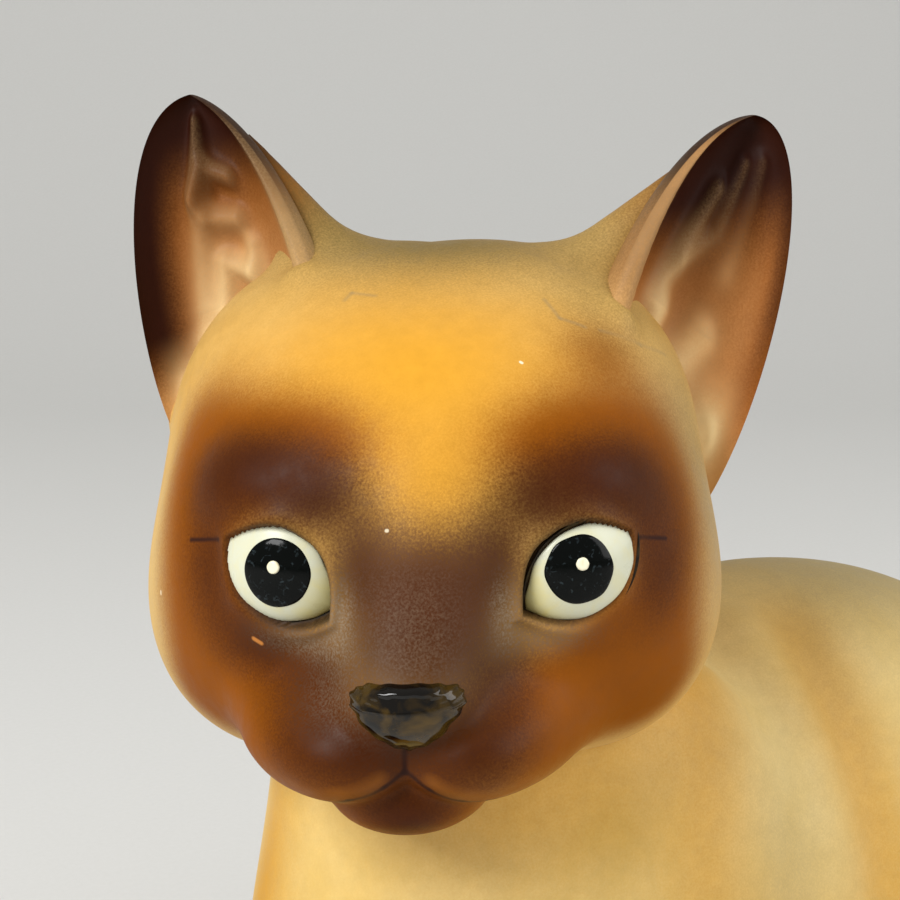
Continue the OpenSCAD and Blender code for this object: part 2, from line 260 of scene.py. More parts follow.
def airbrushed_bisque(name, ground, coats, strokes=()):
    """Fired clay of two ground tones, under sprayed coats of (attribute, colour, spatter), then brush
    strokes of (start, end, radius, blur, strength, colour). A coat's amount is
    d + 4 spatter d (1 - d) (noise - 1/2), so its fading edge breaks up into droplets."""
    material = bpy.data.materials.new(name)
    material.use_nodes = True
    tree = material.node_tree
    shader = tree.nodes["Principled BSDF"]
    shader.inputs["Specular IOR Level"].default_value = BISQUE_MIRROR
    where = wire(tree, "TexCoord").outputs["Object"]
    droplets, mottle, clouds = (noise_of(tree, where, *kind) for kind in (DROPLETS, MOTTLE, CLOUDS))
    colour = blended(tree, rescaled(tree, clouds, 0.3, 0.7), *ground)
    swing = sum_of(tree, "SUBTRACT", droplets, 0.5)
    for label, paint, spatter in coats:
        density = wire(tree, "Attribute", attribute_name=label).outputs["Fac"]
        edge = sum_of(tree, "MULTIPLY", density, sum_of(tree, "SUBTRACT", 1.0, density))
        broken = sum_of(tree, "MULTIPLY", sum_of(tree, "MULTIPLY", swing, edge), 4 * spatter)
        amount = wire(tree, "Clamp", {0: sum_of(tree, "ADD", density, broken)}).outputs[0]
        colour = blended(tree, amount, colour, paint)
    for start, end, radius, blur, strength, paint in strokes:
        amount = sum_of(tree, "MULTIPLY", stroke(tree, where, start, end, radius, blur), strength)
        colour = blended(tree, amount, colour, paint)
    shade = rescaled(tree, mottle, 0.25, 0.75, 0.93, 1.05)
    grey = wire(tree, "CombineColor", {0: shade, 1: shade, 2: shade}).outputs[0]
    tree.links.new(blended(tree, 1.0, colour, grey, "MULTIPLY"), shader.inputs["Base Color"])
    matt = rescaled(tree, mottle, 0.3, 0.7, *BISQUE_ROUGHNESS)
    wet = wire(tree, "Attribute", attribute_name="wet").outputs["Fac"]
    roughness = sum_of(tree, "MULTIPLY", matt, sum_of(tree, "SUBTRACT", 1.0, wet))
    tree.links.new(roughness, shader.inputs["Roughness"])
    waves = bumped(tree, mottle, 0.35, 0.00012)
    tree.links.new(bumped(tree, droplets, 0.22, 0.00006, Normal=waves), shader.inputs["Normal"])
    return material


def settle(piece, material, node):
    """Gives a piece its finish, and puts it in the place of the CAD node that it stands for."""
    piece.data.materials.append(material)
    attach(piece, "root")
    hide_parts(node)


LEG_RINGS, LEG_SPOKES = 170, 180
LEGS = {
    "foreleg": {
        "root": (-34.0, 24.5, 14.0), "paw": (-100.0, 17.0, 8.0), "width": 20.0, "wrist": (18, 0, 3),
        "thickness": (12, 9.5), "pad": (4, 0, 0.5), "pad_size": (13, 9), "toes": (1.6, 6, -1.2, 6.2),
    },
    "hind_paw": {
        "root": (44.0, 44.0, 9.0), "paw": (0.0, 44.0, 7.5), "width": 18.0, "wrist": (8, 0, 0),
        "thickness": (9, 8), "pad": (2, 0, 0), "pad_size": (12, 8), "toes": (1.4, 6.5, -1, 6),
    },
}


def leg_shape(points, root, paw, form):
    """A bar from the root to the wrist, a flattened egg for the paw, and four small eggs for the toes,
    set in a curve: the outer ones lie further back."""
    width = form["width"]
    length, height = form["pad_size"]
    outer_back, ahead, drop, toe_height = form["toes"]
    shape = bar(points, root, paw + form["wrist"], *form["thickness"])
    shape = melt(shape, egg(points, paw + form["pad"], (length, width / 2 - 0.5, height)), 3)
    for place in (-1.5, -0.5, 0.5, 1.5):
        toe = paw + (abs(place) * outer_back - ahead, place * width * 0.22, drop)
        shape = melt(shape, egg(points, toe, (6, width * 0.14, toe_height)), 1.6)
    return shape


def on_table(points):
    """Points below the table are lifted on to it, which gives a flat, ground foot."""
    lifted = np.array(points)
    lifted[..., 2] = np.maximum(lifted[..., 2], 0)
    return lifted


cream_clay = (tone("e6cf92"), tone("d9bb72"))
leg_bisque = airbrushed_bisque("leg bisque", cream_clay, [
    ("honey", tone("c9912a"), 0.5), ("amber", tone("8f4a00"), 0.5), ("seal", tone("34160a"), 0.5)])
leg_clouds = []
for word, form in LEGS.items():
    for side, hand in ((-1, "left"), (1, "right")):
        root, paw = np.array(form["root"]) * (1, side, 1), np.array(form["paw"]) * (1, side, 1)
        leg_points = on_table(woven(skin_grid(
            lambda p: leg_shape(p, root, paw, form), root, paw, paw - root, (0, 0, 1),
            LEG_RINGS, LEG_SPOKES, reach=26)))
        leg_clouds.append(leg_points[::4])
        from_toes = leg_points[:, 0] - paw[0]
        leg = cast_piece(f"{hand}_{word}_fine", leg_points, LEG_SPOKES, {
            "honey": 0.6 + 0.35 * step(from_toes, 40, 10), "amber": step(from_toes, 26, 2),
            "seal": step(from_toes, 15, -4), "wet": 0 * from_toes})
        settle(leg, leg_bisque, f"{hand}_{word}")

# ---------------------------------------------------------------------------- tail
# The tail is rolled in one piece, luted to the rump and laid round the left haunch on the table,
# outside the hind paw. It is sprayed seal brown, lighter at the root.

TAIL_LANE = -63.5
TAIL_ROUTE = np.array([(84, 4, 16), (98, -10, 12), (98, 0.52 * TAIL_LANE, 9.5), (82, 0.9 * TAIL_LANE, 8.5),
                       (52, TAIL_LANE, 7.5), (18, TAIL_LANE, 7), (-6, TAIL_LANE + 2, 6.5)])
TAIL_ROOT_D, TAIL_TIP_D = 18.0, 12.0
TAIL_RINGS, TAIL_CAP_RINGS, TAIL_SPOKES = 260, 16, 96


def along(route, q):
    """Smooth curve through a route's points (Catmull-Rom), with q from 0 to the number of stretches."""
    stretches = len(route) - 1
    i = np.minimum(np.floor(q).astype(int), stretches - 1)
    u = (q - i)[:, None]
    a, b, c, d = (route[np.clip(i + ahead, 0, stretches)] for ahead in (-1, 0, 1, 2))
    cubic = (3 * b - 3 * c + d - a) * u ** 3
    return 0.5 * (2 * b + (c - a) * u + (2 * a - 5 * b + 4 * c - d) * u ** 2 + cubic)


def tail_grid():
    """Circles square to the route, of a radius that tapers from root to tip, closed by half balls."""
    ring = np.arange(TAIL_RINGS + 1)
    share = np.clip((ring - TAIL_CAP_RINGS) / (TAIL_RINGS - 2 * TAIL_CAP_RINGS), 0, 1)
    stretches = len(TAIL_ROUTE) - 1
    q = stretches * share
    way = along(TAIL_ROUTE, np.minimum(q + 0.01, stretches)) - along(TAIL_ROUTE, np.maximum(q - 0.01, 0))
    way /= np.linalg.norm(way, axis=1)[:, None]
    side = np.cross((0, 0, 1), way)
    side /= np.linalg.norm(side, axis=1)[:, None]
    up = np.cross(way, side)
    radius = (TAIL_ROOT_D + (TAIL_TIP_D - TAIL_ROOT_D) * share) / 2
    bend = np.pi / 2 * np.clip(np.minimum(ring, TAIL_RINGS - ring) / TAIL_CAP_RINGS, 0, 1)
    sign = np.where(ring < TAIL_RINGS / 2, -1, 1)
    centre = along(TAIL_ROUTE, q) + way * (radius * np.cos(bend) * sign)[:, None]
    spoke = np.linspace(0, 2 * np.pi, TAIL_SPOKES, endpoint=False)[None, :, None]
    rim = np.cos(spoke) * side[:, None] + np.sin(spoke) * up[:, None]
    return centre[:, None] + (radius * np.sin(bend))[:, None, None] * rim, q / stretches


def woven_amount(grid):
    """A grid of one amount, such as a coat's, in mesh order."""
    return woven(grid[..., None].astype(float))[:, 0]


tail_rows, tail_share = tail_grid()
tail_points = on_table(woven(tail_rows))
tail_along = woven_amount(np.repeat(tail_share[:, None], TAIL_SPOKES, 1))
tail = cast_piece("tail_fine", tail_points, TAIL_SPOKES, {
    "honey": 0.7 + 0 * tail_along, "amber": step(tail_along, 0.02, 0.22),
    "seal": step(tail_along, 0.1, 0.4), "wet": 0 * tail_along})
settle(tail, leg_bisque, "tail")

# ---------------------------------------------------------------------------- body casting
# The trunk, haunches, shoulders and neck stub are one hollow slip casting in cream bisque, fired,
# then airbrushed with honey and a little grey. The honey is laid deeper in the hollows behind the
# shoulders and at the neck, under the head, low down the sides and under the belly, as painted shade.
# Its underside is ground flat round the firing vent, whose hollow is painted dark as shade, and the
# seams where the legs and the tail are luted on are smoothed over with slip.

HEAD_SEAT = (-1.7476, -2.31, -4.8997)  # from the middle of the head casting's box to the heart of the head
HEAD_CENTRE = node_middle("head_casting") + HEAD_SEAT
NECK_TOP = HEAD_CENTRE + (5, 6, -14)
BODY_RINGS, BODY_SPOKES = 300, 320
SPINE_FRONT, SPINE_BACK = (-57, 0, 46), (60, 0, 40)
VENT_CENTRE, VENT_RADIUS, VENT_DEPTH, VENT_LIP = (30, 0), 4.0, 4.5, 0.6
LUTED_SLIP = 3.0  # how far the slip is drawn over from a leg or the tail
SHOULDER_FOLD = [
    (-17, -12, 90), (-18, -15, 87), (-17, -21, 81), (-17, -27, 71), (-19, -30, 60), (-24, -33, 48)]
FOLD_HOLLOW = [(-10, -14, 90), (-11, -21, 83), (-10, -28, 73), (-9, -33, 60), (-12, -36, 46)]
NECK_HOLLOW = [(-36, -22, 92), (-38, -28, 84), (-41, -32, 74), (-42, -36, 60)]


def both_sides(route):
    """A route, and its mirror on the cat's right."""
    return [np.array(route), np.array(route) * (1, -1, 1)]


def body_shape(points):
    """Trunk, chest, rump, haunches, shoulders, elbows and neck, melted into each other in that order."""
    both = folded(points, 1)
    shape = egg(points, (-10, 0, 44), (64, 33, 49.3))
    shape = melt(shape, egg(points, (-55, -5, 46), (27, 27, 50)), 12)
    shape = melt(shape, egg(points, (58, 0, 39), (40, 36, 44)), 14)
    shape = melt(shape, egg(both, (50, 30, 28), (36, 19, 34)), 7)
    shape = melt(shape, egg(both, (-38, 18, 52), (20, 16, 41)), 7)
    shape = melt(shape, bar(both, (-43, 22, 48), (-33, 25, 16), 14, 12), 8)
    return melt(shape, bar(points, (-48, -1, 64), NECK_TOP, 23, 21), 10)


def body_relief(points):
    """Height over the body's plain form: on each side a fold behind the shoulder blade, the hollow behind
    that fold and one at the neck, each a Gauss curve across its route."""
    fold = sum(ridge(points, route, 4.5) for route in both_sides(SHOULDER_FOLD))
    hollow = sum(ridge(points, route, 5.0) for route in both_sides(FOLD_HOLLOW))
    neck = sum(ridge(points, route, 6.0) for route in both_sides(NECK_HOLLOW))
    return 1.1 * fold - 1.5 * hollow - 0.8 * neck


body_points = woven(skin_grid(
    body_shape, SPINE_FRONT, SPINE_BACK, (1, 0, 0), (0, 0, 1), BODY_RINGS, BODY_SPOKES, reach=120))
spine = np.subtract(SPINE_BACK, SPINE_FRONT)
body_heart = SPINE_FRONT + np.clip((body_points[:, :1] - SPINE_FRONT[0]) / spine[0], 0, 1) * spine
body_way = body_points - body_heart
body_way /= np.linalg.norm(body_way, axis=1)[:, None]
joined = leg_clouds + [tail_points[::3]]
seam = sum(slip(nearest(body_points, cloud, LUTED_SLIP), LUTED_SLIP) for cloud in joined)
body_points = on_table(body_points + (body_relief(body_points) + seam)[:, None] * body_way)
vent = np.hypot(body_points[:, 0] - VENT_CENTRE[0], body_points[:, 1] - VENT_CENTRE[1])
in_vent = np.clip((VENT_RADIUS + VENT_LIP - vent) / (2 * VENT_LIP), 0, 1) * (body_points[:, 2] < 0.01)
body_points[:, 2] += VENT_DEPTH * in_vent
body_coats = {
    # honey: airbrushed honey, and painted shade in the hollows, under the head, low down and under the belly
    "honey": coat(
        0.12 + 0.2 * step(body_points[:, 2], 76, 50),
        0.6 * ridge(body_points, NECK_HOLLOW, 7.0),
        0.72 * ridge(body_points, FOLD_HOLLOW, 6.5),
        *puffs(body_points,
               ((-80, 4, 66), (6, 7, 40), 0.95), ((-58, -22, 84), (20, 16, 12), 0.6),
               ((-50, -10, 98), (24, 30, 12), 0.6), ((20, 0, 12), (80, 60, 18), 0.7),
               ((5, 0, 94), (26, 24, 7), 0.25)),
        0.6 * step(body_points[:, 0], 55, 100)),
    "soot": coat(
        puff(body_points, (30, 0, 92), (44, 30, 16), 0.62),
        0.5 * step(body_points[:, 2], 84, 100) * step(body_points[:, 0], -16, 8),
        puff(body_points, (-27, -32, 70), (10, 10, 13), 0.3)),
    # seal: painted shade darkening the hollow of the firing vent, and seal brown at the root of the tail
    "seal": coat(0.8 * in_vent, puff(body_points, (92, 0, 16), (9, 12, 14), 0.8)),
    "wet": 0 * vent,
}
body = cast_piece("body_casting_fine", body_points, BODY_SPOKES, body_coats)
body_bisque = airbrushed_bisque("cream bisque", cream_clay, [
    ("honey", tone("c9912a"), 0.5), ("soot", tone("8f886e"), 0.6), ("seal", tone("4a2a16"), 0.5)])
settle(body, body_bisque, "body_casting")

# ---------------------------------------------------------------------------- ears
# Each ear is pressed in a mould as a cupped leaf with creased folds in its hollow, cut to fit the
# crown and luted on, with the seam smoothed over. Seal brown is sprayed from the tips downwards.

FACE_TURN, FACE_TILT, FACE_LEAN = np.radians((36.5, 2.0, -1.1))
EAR_RINGS, EAR_SPOKES, EAR_ROOT_DEPTH = 200, 260, 0.14
EAR_WALL, EAR_CREASE_WIDTH, EAR_CREASE_LENGTH = 2.6, 23.0, 37.0
CREASE_RISE, CREASE_SPREAD = 1.4, 0.85  # what each crease's height and width are multiplied by
LEFT_EAR = {
    "inner": [(17, 16.5, 3), (19.5, 27, 1), (27.5, 41, -9), (36.2, 42.2, -12)],
    "outer": [(30.5, -2, -9), (39, 12, -9), (44.5, 40.5, -12), (36.2, 42.2, -12)],
    "faces": (0.42, -0.05, 0.90), "cup": 10.0, "band": (0.03, 0.10),
    "creases": [  # route in shares across and up, height, width
        ([(0.36, 0.30), (0.50, 0.62)], 0.9, 2.0), ([(0.50, 0.10), (0.72, 0.30)], 0.8, 2.2),
        ([(0.46, 0.42), (0.62, 0.52), (0.66, 0.72)], 0.6, 1.6), ([(0.62, 0.02), (0.86, 0.13)], 1.1, 2.3),
        ([(0.34, 0.14), (0.44, 0.30)], 0.8, 1.7), ([(0.74, 0.45), (0.80, 0.74)], 0.5, 1.9)],
}
RIGHT_EAR = {
    "inner": [(10.2, 17.5, 2), (11.5, 27, 0), (18.5, 42.2, -8), (27.1, 45.6, -11)],
    "outer": [(29.5, 5.5, -9), (34.5, 16, -8), (37, 43.2, -10), (27.1, 45.6, -11)],
    "faces": (0.38, -0.05, 0.92), "cup": 9.5, "band": (0.03, 0.09),
    "creases": [
        ([(0.40, 0.62), (0.56, 0.66), (0.66, 0.58)], 1.1, 1.7), ([(0.44, 0.50), (0.60, 0.52)], 1.2, 1.7),
        ([(0.46, 0.36), (0.58, 0.40), (0.62, 0.30)], 1.2, 1.7), ([(0.40, 0.42), (0.42, 0.24)], 0.9, 1.6),
        ([(0.50, 0.18), (0.74, 0.24)], 0.9, 2.0), ([(0.56, 0.06), (0.84, 0.13)], 1.1, 2.2),
        ([(0.72, 0.32), (0.66, 0.60), (0.56, 0.82)], 0.8, 2.0), ([(0.62, 0.12), (0.66, 0.24)], 0.7, 1.6)],
}


def head_axes():
    """Directions of the head's own axes, x to the cat's left, y up and z out of the face: turned about
    the cat's Z, tilted up, and leant about their own z."""
    level = np.cos(FACE_TILT)
    out = np.array([-np.sin(FACE_TURN) * level, -np.cos(FACE_TURN) * level, np.sin(FACE_TILT)])
    left = np.array([np.cos(FACE_TURN), -np.sin(FACE_TURN), 0.0])
    up = np.cross(out, left)
    c, s = np.cos(FACE_LEAN), np.sin(FACE_LEAN)
    return np.stack([c * left - s * up, s * left + c * up, out])


HEAD_AXES = head_axes()


def on_head(points):
    """Places measured along the head's own axes from the heart of the head, in the cat's own."""
    return HEAD_CENTRE + np.asarray(points, float) @ HEAD_AXES


def curve(hooks, s):
    """Bezier curve of the third order."""
    a, b, c, d = (np.array(hook, float) for hook in hooks)
    s = s[..., None]
    return (1 - s) ** 3 * a + 3 * s * (1 - s) ** 2 * b + 3 * s ** 2 * (1 - s) * c + s ** 3 * d


def ear_grid(form):
    """A leaf between an inner and an outer edge curve. Share h runs across it and s up it, and a spoke
    angle takes h up the back and down the front. The back is hollowed by cup (1 - s)^0.6 2 sqrt(h (1 - h));
    the front has a band beside the inner edge, then drops into a cup, which carries the creases."""
    s = np.linspace(1, -EAR_ROOT_DEPTH, EAR_RINGS + 1)[:, None]
    turn = np.linspace(0, 2 * np.pi, EAR_SPOKES, endpoint=False)[None, :]
    h = (1 - np.cos(turn)) / 2 + 0 * s
    s = s + 0 * h
    front = np.sin(turn) + 0 * s > 0
    edge = np.abs(np.sin(turn)) + 0 * s
    deep = form["cup"] * np.clip(1 - s, 0, 1) ** 0.6
    wall = EAR_WALL * (1 - 0.4 * np.clip(s, 0, 1)) * np.sqrt(np.clip(1 - np.clip(s, 0, 1) ** 8, 0, 1))
    band = form["band"][0] + form["band"][1] * np.clip(1 - s, 0, 1) ** 1.35
    into = np.clip((h - band) / (1 - band), 0, 1)
    cup = deep * np.sin(np.pi * into) ** 0.62 * (1 - 0.42 * step(s, 0.42, 0.0))
    hollow = np.minimum(cup, deep * edge + 0.2)
    crown = 0.9 * np.clip(1 - s, 0, 1) * np.sin(np.pi * np.clip(h / band, 0, 1)) ** 0.8
    place = np.stack([h * EAR_CREASE_WIDTH, s * EAR_CREASE_LENGTH, 0 * h], -1)
    creases = 0 * h
    for route, height, width in form["creases"]:
        line = [(a * EAR_CREASE_WIDTH, b * EAR_CREASE_LENGTH, 0) for a, b in route]
        creases = creases + CREASE_RISE * height * ridge(place, line, CREASE_SPREAD * width)
    in_cup = step(into, 0.02, 0.2) * step(into, 1.0, 0.85)
    front_depth = hollow - crown - creases * in_cup - wall / 2 * np.sqrt(edge)
    back_depth = deep * edge + wall / 2 * np.sqrt(edge)
    depth = np.where(front, front_depth, back_depth)
    faces = np.array(form["faces"]) / np.linalg.norm(form["faces"])
    leaf = curve(form["inner"], s) * (1 - h[..., None]) + curve(form["outer"], s) * h[..., None]
    return leaf - depth[..., None] * faces, s, h, front, into, creases * in_cup * front


def crown_coats(local):
    """Paint on the crown, running on to the ears' roots: honey, and soot along the top, partly painted
    shade.
    """
    honey = coat(*puffs(local, ((-1, 17, 14), (21, 12, 22), 1.0), ((0, 9, 24), (8, 7, 12), 0.75)))
    soot = coat(*puffs(local, ((0, 31, -4), (22, 6.5, 13), 0.92), ((0, 28, -25), (40, 20, 18), 0.6)))
    return honey, soot


def left_ear_coats(s, h, front, in_cup):
    """Seal brown, amber and pink of the left ear: brown from the tip down and along the outer edge."""
    rim = 1 - in_cup
    dark = coat(
        in_cup * step(s + 0.25 * (0.5 - h), 0.34, 0.62), step(s, 0.72, 0.95) * 0.9 * rim * front,
        (1 - front) * step(s, 0.35, 0.7), in_cup * step(h, 0.93, 1.0) * 0.7 * step(s, 0.2, 0.45))
    brown = coat(
        in_cup * step(s + 0.3 * (0.5 - h), 0.16, 0.5), 0.75 * rim * step(s, 0.0, 0.4),
        in_cup * step(h, 0.88, 1.0) * step(s, 0.05, 0.3))
    return dark, brown, in_cup * step(s, 0.0, 0.2) * 0.9


def right_ear_coats(s, h, front, in_cup):
    """The same of the right ear, whose hollow stays lighter further up."""
    rim = 1 - in_cup
    dark = coat(
        step(s, 0.42, 0.78) * (1 - 0.6 * in_cup * step(h, 0.85, 0.6) * step(s, 0.66, 0.46)),
        in_cup * step(h, 0.78, 0.95) * step(s, 0.12, 0.3), 0.9 * rim * step(s, 0.5, 0.8))
    brown = coat(
        step(s, 0.3, 0.6), in_cup * step(h, 0.55, 0.9) * step(s, 0.1, 0.3) * 0.9, 0.35 * in_cup)
    return dark, brown, in_cup * step(s, 0.1, 0.3) * 0.6


ears = [(LEFT_EAR, left_ear_coats, 1, "left"), (RIGHT_EAR, right_ear_coats, -1, "right")]
ear_clouds = []
for form, paint_of, side, hand in ears:
    ear_rows, *amounts = ear_grid(form)
    ear_local = woven(ear_rows) * (side, 1, 1)
    s, h, front, into, creased = (woven_amount(amount) for amount in amounts)
    ear_clouds.append(ear_local[(s < 0.75) & ((into <= 0) | ((s < 0.3) & (front < 0.5)))][::2])
    in_cup = front * step(into, 0.0, 0.12)
    rim = 1 - in_cup
    honey, soot = crown_coats(ear_local)
    dark, brown, pink = paint_of(s, h, front, in_cup)
    # painted shade: brown laid in the low ground between the creases of the hollow
    shade_between_creases = in_cup * step(s, 0.12, 0.3) * step(s, 0.85, 0.6) * step(creased, 0.9, 0.15)
    brown = coat(brown, 0.5 * shade_between_creases)
    cream = in_cup * step(s, 0.3, 0.05) * step(h, 1.0, 0.9)
    ear = cast_piece(f"{hand}_ear_fine", on_head(ear_local), EAR_SPOKES, {
        "honey": honey * rim,
        "peach": pink,
        "amber": np.clip(brown * 0.9, 0, 1),
        "seal": np.clip(dark, 0, 1),
        # cream: cream paint at the foot of the hollow, and painted highlight along the tops of the creases
        "cream": np.clip(0.8 * cream + 0.5 * creased * step(s, 0.6, 0.2), 0, 1),
        "soot": 0.9 * soot * rim,
        # dust: a light tone on the crease tops up the ear, which is painted highlight, and along the front
        # rim
        "dust": coat(
            0.2 * step(creased, 0.4, 1.2) * (s > 0.3),
            0.35 * rim * front * step(s, 0.15, 0.4) * step(s, 0.95, 0.6)),
        "wet": 0 * s,
    })
    ear_bisque = airbrushed_bisque(f"{hand} ear bisque", (tone("dcb37a"), tone("d3a266")), [
        ("honey", tone("d9a044"), 0.4), ("peach", tone("cf9256"), 0.3), ("amber", tone("7f440c"), 0.5),
        ("seal", tone("2c1006"), 0.5), ("cream", tone("e3c48c"), 0.5), ("soot", tone("70603f"), 0.8),
        ("dust", tone("a5835a"), 1.0)])
    settle(ear, ear_bisque, f"{hand}_ear")

# ---------------------------------------------------------------------------- head casting
# The head is a second hollow slip casting, seated over the neck stub and luted there, turned towards
# the cat's left. The mask is airbrushed: honey over the crown, amber round it, seal brown within,
# and the lashes, the mouth and the lines of the lids are drawn with a fine brush.

SKULL_HEART = (0, -3, -2)
SKULL_SET, MUZZLE_SET = 0.4, 1.9  # how far each sits towards the cat's right
EYEBALL_CENTRE, EYEBALL_RADIUS = np.array([12.7, -0.4, 15.4]), 9.2
EYE_OUTWARD, EYE_SLANT = np.radians((14.0, 31.0))
EYE_OUTER = np.array([np.cos(EYE_OUTWARD), 0, -np.sin(EYE_OUTWARD)])
EYE_OUT = np.array([np.sin(EYE_OUTWARD), 0, np.cos(EYE_OUTWARD)])
SLANT_COS, SLANT_SIN = np.cos(EYE_SLANT), np.sin(EYE_SLANT)
LID_DROP = 0.4
LID_OPENING = (6.6, 4.9, 4.4)  # half its length, and its height above and below the slant line
LID_ROUNDNESS = 2.6
LEFT_EAR_MOUND = ((16.8, 24.2, -9.5), (28.8, 36.8, -11), 4.6, 0.7)
RIGHT_EAR_MOUND = ((-12.0, 25.8, -9.5), (-20.6, 40.2, -11), 4.6, 0.7)
EAR_SLIP, EAR_SLIP_WIPES = 2.4, 5  # its reach, and how often the seam is wiped over
HEAD_RINGS, HEAD_SPOKES, HEAD_CROWD, HEAD_REACH = 292, 338, 0.38, 60


def tilted_egg(points, centre, radii, tilt):
    """An egg turned about x by an angle."""
    c, s = np.cos(tilt), np.sin(tilt)
    x, y, z = np.moveaxis(points - np.asarray(centre, float), -1, 0)
    return egg(np.stack([x, c * y + s * z, c * z - s * y], -1), (0, 0, 0), radii)


def eye_view(points):
    """Along the slant of the lids, across it, and straight out of the eyeball, for points folded on to
    the cat's left."""
    offset = folded(points, 0) - EYEBALL_CENTRE
    u, v = offset @ EYE_OUTER, offset[..., 1] + LID_DROP
    return SLANT_COS * u + SLANT_SIN * v, SLANT_COS * v - SLANT_SIN * u, offset @ EYE_OUT


def past_lids(points):
    """How far a point is outside the almond opening: |v| - height (1 - |u / half length|^roundness)."""
    u, v, out = eye_view(points)
    length, above, below = LID_OPENING
    height = np.where(v > 0, above, below)
    shut = np.clip(1 - (np.abs(u) / length) ** LID_ROUNDNESS, -2, 1)
    return 0.75 * (np.abs(v) - height * shut), out


def skull_shape(points):
    """Cranium, temples, cheeks and the flat of the face, with the mounds that carry the ears."""
    middle = points + (SKULL_SET, 0, 0)
    both = folded(middle, 0)
    shape = egg(middle, (0, 0.8, -8), (30, 27.8, 28))
    shape = melt(shape, egg(both, (11, 10.5, -9), (15, 15.2, 17)), 9)
    shape = melt(shape, egg(both, (15.7, -10.8, -1), (15.8, 15.8, 18.5)), 9)
    shape = melt(shape, egg(middle, (0, -1.5, 9), (26.2, 22, 17)), 8)
    shape = melt(shape, bar(points, *LEFT_EAR_MOUND), 4)
    return melt(shape, bar(points, *RIGHT_EAR_MOUND), 4)


def muzzle_parts(points):
    """The whisker pads and the chin, which meet in the mouth, all set a little to one side."""
    one, other = (egg(points, (place, -17.6, 23.5), (8.2, 5.9, 9.5)) for place in (-5.8, 5.8))
    sides = egg(folded(points, 0), (10.5, -16.8, 16), (8.2, 6.8, 10.5))
    return melt(melt(one, other, 1.2), sides, 5), egg(points, (-0.4, -23, 19.5), (8.8, 5.5, 9.8))


def face_shape(points):
    """The skull with the nose bridge, brows, whisker pads, chin and nose on it, the lids raised round
    their openings, and the eyeballs within."""
    middle = points + (SKULL_SET, 0, 0)
    lean = MUZZLE_SET * np.clip((6 - middle[..., 1]) / 20, 0, 1) * np.clip(middle[..., 2] / 25, 0, 1)
    set_over = middle + lean[..., None] * np.array([1, 0, 0])
    shape = melt(skull_shape(points), tilted_egg(set_over, (0, -3, 20), (6.5, 14, 9.2), np.radians(-14)), 7)
    shape = melt(shape, egg(folded(middle, 0), (12, 6.8, 17), (8.5, 4.6, 6)), 5)
    pads, chin = muzzle_parts(set_over)
    shape = melt(shape, egg(set_over, (0, -10, 22), (8, 7, 10)), 5)
    shape = melt(shape, pads, 3.5)
    shape = melt(shape, chin, 1.2)
    shape = melt(shape, egg(set_over, (0, -11.6, 28), (5.8, 4.2, 6)), 2.5)
    past, out = past_lids(points)
    shape = shape - 0.9 * np.exp(-(past / 1.7) ** 2) * (out > 0)
    opening = -melt(-past, out - 4, 0.5)
    shape = -melt(-shape, opening, 1.3)
    ball = np.linalg.norm(folded(points, 0) - EYEBALL_CENTRE, axis=-1) - EYEBALL_RADIUS
    return melt(shape, ball, 0.2)


def on_skin(*points):
    """Places on the skin of the head, in the cat's own coordinates, in the directions of points."""
    heart = np.array(SKULL_HEART)
    way = np.array(points, float) - heart
    way /= np.linalg.norm(way, axis=1)[:, None]
    return on_head(heart + outside(face_shape, heart, way, HEAD_REACH)[:, None] * way)


def strokes_along(route, radius, blur, strength, paint):
    """Brush strokes from each place of a route to the next."""
    places = on_skin(*route)
    return [(a, b, radius, blur, strength, paint) for a, b in zip(places[:-1], places[1:])]


def wiped(seam):
    """A seam's height on the rings and spokes, evened out with a finger: (1 2 1) / 4 both ways."""
    for _ in range(EAR_SLIP_WIPES):
        seam = (2 * seam + np.roll(seam, 1, 1) + np.roll(seam, -1, 1)) / 4
        padded = np.pad(seam, ((1, 1), (0, 0)), "edge")
        seam = (2 * seam + padded[:-2] + padded[2:]) / 4
    return seam


head_local = woven(skin_grid(
    face_shape, SKULL_HEART, SKULL_HEART, (0, 0, 1), (0, 1, 0),
    HEAD_RINGS, HEAD_SPOKES, HEAD_REACH, HEAD_CROWD))
past_lid, lid_out = past_lids(head_local)
head_way = head_local - SKULL_HEART
head_way /= np.linalg.norm(head_way, axis=1)[:, None]
seam = sum(slip(nearest(head_local, cloud, EAR_SLIP), EAR_SLIP) for cloud in ear_clouds)
seam[1:-1] = wiped(seam[1:-1].reshape(HEAD_RINGS - 1, HEAD_SPOKES)).ravel()
head_local = head_local + (seam * step(head_local[:, 1], 2, 10))[:, None] * head_way

